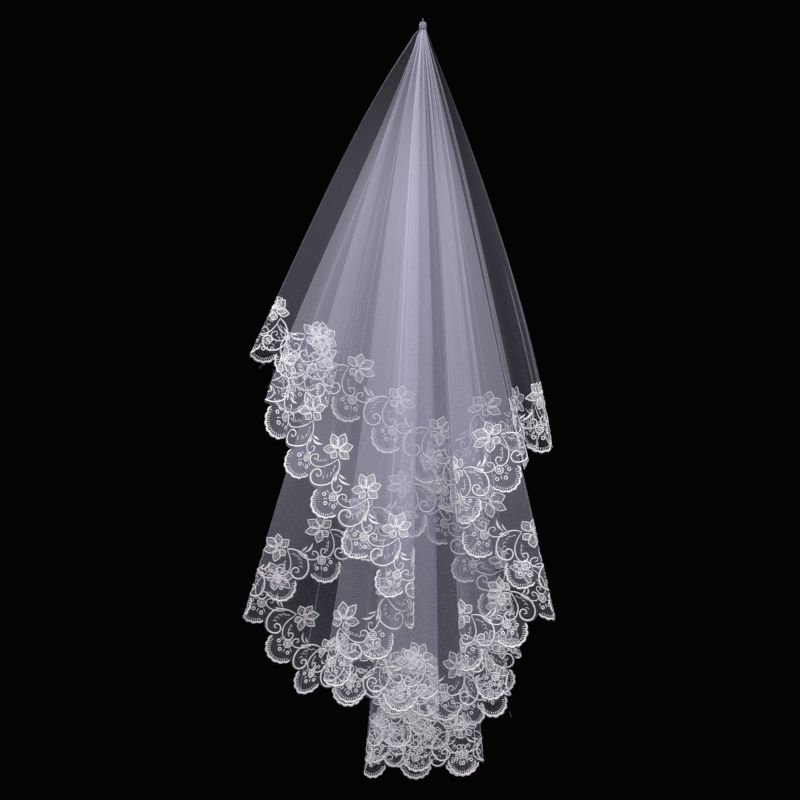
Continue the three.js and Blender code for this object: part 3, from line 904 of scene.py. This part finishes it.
def make_bulb():
    """The pinched bulb above the binding, pleated all round and closed at the top."""
    heights = HEAD[: NECK_LEVEL + 1, 0]
    angle = np.arange(BULB_COLUMNS) * 2 * math.pi / BULB_COLUMNS
    vertices = []
    for drop in np.linspace(heights[0], heights[-1], BULB_ROWS):
        span = np.interp(drop, heights, HEAD[: NECK_LEVEL + 1, 1])
        depth = np.interp(drop, heights, HEAD[: NECK_LEVEL + 1, 3])
        pleat = BULB_PLEAT_DEPTH * (abs(np.sin(angle * BULB_PLEATS / 2 + 0.4 * np.sin(3 * angle))) - 0.7)
        x = (span + pleat) * np.cos(angle)
        y = (depth + pleat) * np.sin(angle)
        vertices.append(np.stack([x, y, np.full(BULB_COLUMNS, -drop)], -1))
    top = np.array([0, 0, -heights[0] + BULB_CAP_RISE])
    for share in BULB_CAP_SHARES:
        ring = vertices[0] * share + top * (1 - share)
        ring[:, 2] = top[2] - BULB_CAP_RISE * share**2
        vertices.insert(0, ring)
    vertices = np.stack(vertices, 1)
    rows_count = vertices.shape[1]
    uv = np.stack(np.meshgrid(angle * 0.0065, np.arange(rows_count) * 0.0006, indexing="ij"), -1)
    return new_mesh("gather_bulb", vertices, grid_faces(BULB_COLUMNS, rows_count, True)[:, ::-1], uv)


# Materials
def material(name, colour, roughness, sheen=0.0):
    made = bpy.data.materials.new(name)
    made.use_nodes = True
    shader = made.node_tree.nodes["Principled BSDF"]
    shader.inputs["Base Color"].default_value = (*colour, 1)
    shader.inputs["Roughness"].default_value = roughness
    shader.inputs["Sheen Weight"].default_value = sheen
    shader.inputs["Specular IOR Level"].default_value = 0.2
    return made, made.node_tree, shader


def node(tree, kind, **inputs):
    made = tree.nodes.new(kind)
    for key, value in inputs.items():
        made.inputs[key.replace("_", " ")].default_value = value
    return made


def maths(tree, operation, first, second=None):
    made = tree.nodes.new("ShaderNodeMath")
    made.operation = operation
    for socket, value in zip(made.inputs, (first, second)):
        if value is None:
            continue
        if isinstance(value, (int, float)):
            socket.default_value = value
        else:
            tree.links.new(value, socket)
    return made.outputs[0]


def value_of(tree, name):
    """A named value of the mesh."""
    made = tree.nodes.new("ShaderNodeAttribute")
    made.attribute_name = name
    return made.outputs["Fac"]


# The net: the share of it that thread covers seen square on, the size of its holes, the least share that
# counts as square on, how strongly it thickens when it is seen edge on, and how wide and thick a crease is
NET_COLOUR = (0.48, 0.473, 0.605)
NET_COVER = 0.105
NET_CELL = 0.0016
NET_EDGE_ON = 0.07
NET_SLANT = 0.7
THREADS_LEAST = 0.75
THREADS_MORE = 0.5
CREASE_HALF_WIDTH = 0.0020
CREASE_LAYERS = 4.0

# Colours of the threads, and the length of a stitch or twist along them
SATIN_COLOUR = (0.81, 0.77, 0.81)
SATIN_STITCH = 0.0009
# The thread is white. Its dark colour here is painted shade, on the loop, the neck binding and the loose ends
# alike.
THREAD_SHADE_COLOUR = (0.20, 0.19, 0.22)
THREAD_STITCH = 0.0008
FILL_COLOUR = (0.86, 0.84, 0.90)
FILL_LEAST = 0.06
FILL_MORE = 0.2
# The gathered net of the bulb is white. Its dark colour here is painted shade.
GATHER_SHADE_COLOUR = (0.18, 0.175, 0.23)


def net_material():
    """Fine net: threads round small holes, with more thread in the way where it is seen edge on."""
    made, tree, shader = material("sheer_net", NET_COLOUR, 0.75, sheen=0.1)
    uv = node(tree, "ShaderNodeUVMap")
    uv.uv_map = "cloth"
    mesh = node(tree, "ShaderNodeTexBrick", Scale=1 / NET_CELL, Mortar_Size=0.16, Mortar_Smooth=0.6,
                Brick_Width=1.0, Row_Height=0.86, Bias=0.0)
    tree.links.new(uv.outputs["UV"], mesh.inputs["Vector"])
    threads = maths(tree, "MULTIPLY_ADD", mesh.outputs["Fac"], THREADS_MORE)
    threads.node.inputs[2].default_value = THREADS_LEAST
    facing = node(tree, "ShaderNodeLayerWeight", Blend=0.5)
    square_on = maths(tree, "SUBTRACT", 1.0, facing.outputs["Facing"])
    square_on = maths(tree, "POWER", maths(tree, "MAXIMUM", square_on, NET_EDGE_ON), NET_SLANT)
    in_the_way = maths(tree, "DIVIDE", threads, square_on)
    in_the_way = maths(tree, "MULTIPLY", in_the_way, value_of(tree, "pleating"))
    from_crease = maths(tree, "ABSOLUTE", value_of(tree, "from_crease"))
    line = node(tree, "ShaderNodeMapRange", From_Min=0.0, From_Max=CREASE_HALF_WIDTH,
                To_Min=CREASE_LAYERS, To_Max=0.0)
    line.interpolation_type = "SMOOTHSTEP"
    tree.links.new(from_crease, line.inputs["Value"])
    pressed = maths(tree, "MULTIPLY", line.outputs["Result"], value_of(tree, "crease_strength"))
    in_the_way = maths(tree, "ADD", in_the_way, pressed)
    let_through = maths(tree, "POWER", 1 - NET_COVER, in_the_way)
    tree.links.new(maths(tree, "SUBTRACT", 1.0, let_through), shader.inputs["Alpha"])
    return made


def stitch_material(name, colour, roughness, stitch, strength):
    """Satin stitches lying side by side across a cord."""
    made, tree, shader = material(name, colour, roughness, sheen=0.25)
    uv = node(tree, "ShaderNodeUVMap")
    uv.uv_map = "cloth"
    wave = node(tree, "ShaderNodeTexWave", Scale=1 / stitch / 3.1416 / 2, Distortion=0.6, Detail=1.0)
    tree.links.new(uv.outputs["UV"], wave.inputs["Vector"])
    bump = node(tree, "ShaderNodeBump", Strength=strength, Distance=0.0004)
    tree.links.new(wave.outputs["Fac"], bump.inputs["Height"])
    tree.links.new(bump.outputs["Normal"], shader.inputs["Normal"])
    return made


def fill_material():
    """Open filling stitches in the petals."""
    made, tree, shader = material("fill_stitches", FILL_COLOUR, 0.6, sheen=0.2)
    uv = node(tree, "ShaderNodeUVMap")
    uv.uv_map = "cloth"
    wave = node(tree, "ShaderNodeTexWave", Scale=120.0, Distortion=1.0, Detail=1.0)
    wave.bands_direction = "DIAGONAL"
    tree.links.new(uv.outputs["UV"], wave.inputs["Vector"])
    cover = maths(tree, "MULTIPLY_ADD", wave.outputs["Fac"], FILL_MORE)
    cover.node.inputs[2].default_value = FILL_LEAST
    tree.links.new(cover, shader.inputs["Alpha"])
    return made


# The white gathered net with a dark base colour: painted shade
def gather_material():
    made, tree, shader = material("gathered_net", GATHER_SHADE_COLOUR, 0.7, sheen=0.1)
    uv = node(tree, "ShaderNodeUVMap")
    uv.uv_map = "cloth"
    noise = node(tree, "ShaderNodeTexNoise", Scale=900.0, Detail=3.0)
    tree.links.new(uv.outputs["UV"], noise.inputs["Vector"])
    bump = node(tree, "ShaderNodeBump", Strength=0.5, Distance=0.0003)
    tree.links.new(noise.outputs["Fac"], bump.inputs["Height"])
    tree.links.new(bump.outputs["Normal"], shader.inputs["Normal"])
    return made


def dress(piece, made, slot, *nodes):
    """Give a piece its material, and hide the solids that it stands for. The slot is not used."""
    piece.data.materials.clear()
    piece.data.materials.append(made)
    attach(piece, "root")
    if nodes:
        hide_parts(*nodes)
    return piece


# Camera at the photograph's viewing angle: its distance, and where the origin lies in the photo, in pixels
CAMERA_DISTANCE = 4.0
SENSOR_WIDTH = 36.0
HANG_PIXEL = (422.8, 18.8)


def make_camera():
    data = bpy.data.cameras.new("camera")
    data.sensor_width = SENSOR_WIDTH
    data.lens = SENSOR_WIDTH * CAMERA_DISTANCE / (PHOTO_SIZE * PHOTO_SCALE)
    camera = bpy.data.objects.new("camera", data)
    half = PHOTO_SIZE / 2
    across, down = HANG_PIXEL
    camera.location = ((half - across) * PHOTO_SCALE, -CAMERA_DISTANCE, -(half - down) * PHOTO_SCALE)
    camera.rotation_euler = (math.radians(90), 0, 0)
    bpy.context.scene.collection.objects.link(camera)
    bpy.context.scene.camera = camera


# Soft lights: the place and power of each, all of one size and aimed at one point
LIGHTS = {
    "key": ((-1.2, -1.9, 1.3), 100),
    "fill": ((1.5, -1.9, 0.9), 58),
    "rear_left": ((-1.6, 2.1, 1.1), 60),
    "rear_right": ((1.6, 2.1, 0.9), 58),
}
LIGHT_SIZE = 1.6
LIGHT_AIM = (0.0, 0.0, -0.4)


def area_light(name, place, power):
    data = bpy.data.lights.new(name, "AREA")
    data.shape = "DISK"
    data.size = LIGHT_SIZE
    data.energy = power
    light = bpy.data.objects.new(name, data)
    light.location = place
    way = np.array(LIGHT_AIM) - np.array(place)
    flat = math.hypot(way[0], way[1])
    light.rotation_euler = (math.atan2(flat, -way[2]), 0, math.atan2(way[1], way[0]) - math.pi / 2)
    bpy.context.scene.collection.objects.link(light)


# A round pale floor under the veil, below the photo's frame, in a dark room
FLOOR_LEVEL = -1.6
FLOOR_RADIUS = 0.6
FLOOR_CENTRE = (0.02, 0.06)
FLOOR_DEPTH = 0.02
FLOOR_COLOUR = (0.55, 0.55, 0.56)
ROOM_COLOUR = (0.0012, 0.0012, 0.0014, 1)


def make_stage():
    bpy.ops.mesh.primitive_cylinder_add(vertices=128, radius=FLOOR_RADIUS, depth=FLOOR_DEPTH,
                                        location=(*FLOOR_CENTRE, FLOOR_LEVEL - FLOOR_DEPTH / 2))
    floor = bpy.context.object
    floor.name = "floor"
    pale, _, _ = material("pale_floor", FLOOR_COLOUR, 0.8)
    floor.data.materials.append(pale)
    world = bpy.data.worlds.new("dark_room")
    world.use_nodes = True
    world.node_tree.nodes["Background"].inputs["Color"].default_value = ROOM_COLOUR
    bpy.context.scene.world = world
    for name, (place, power) in LIGHTS.items():
        area_light(name, place, power)
    scene = bpy.context.scene
    scene.view_settings.view_transform = "Standard"
    scene.cycles.transparent_max_bounces = 96
    scene.cycles.max_bounces = 6


def main():
    make_camera()
    make_stage()
    satin = stitch_material("satin_stitches", SATIN_COLOUR, 0.5, SATIN_STITCH, 0.6)
    # White thread with a dark base colour: painted shade
    thread = stitch_material("white_thread_painted_shade", THREAD_SHADE_COLOUR, 0.6, THREAD_STITCH, 0.4)
    net = dress(make_net(), net_material(), "net", "net_sheet")
    lace = [
        dress(make_scallop_edge(), satin, "lace", "lace_edging"),
        dress(make_scrolls(), satin, "lace"),
        dress(make_flowers(), satin, "lace"),
        dress(make_petal_fill(), fill_material(), "lace"),
        dress(make_leaves(), satin, "lace"),
        dress(make_daisies(), satin, "lace"),
        dress(make_loose_ends(), thread, "lace"),
    ]
    dress(make_bulb(), gather_material(), "gathered_net", "net_gather")
    dress(make_binding(), thread, "thread", "neck_binding")
    loop = dress(make_loop(), thread, "thread", "hanging_loop")


main()
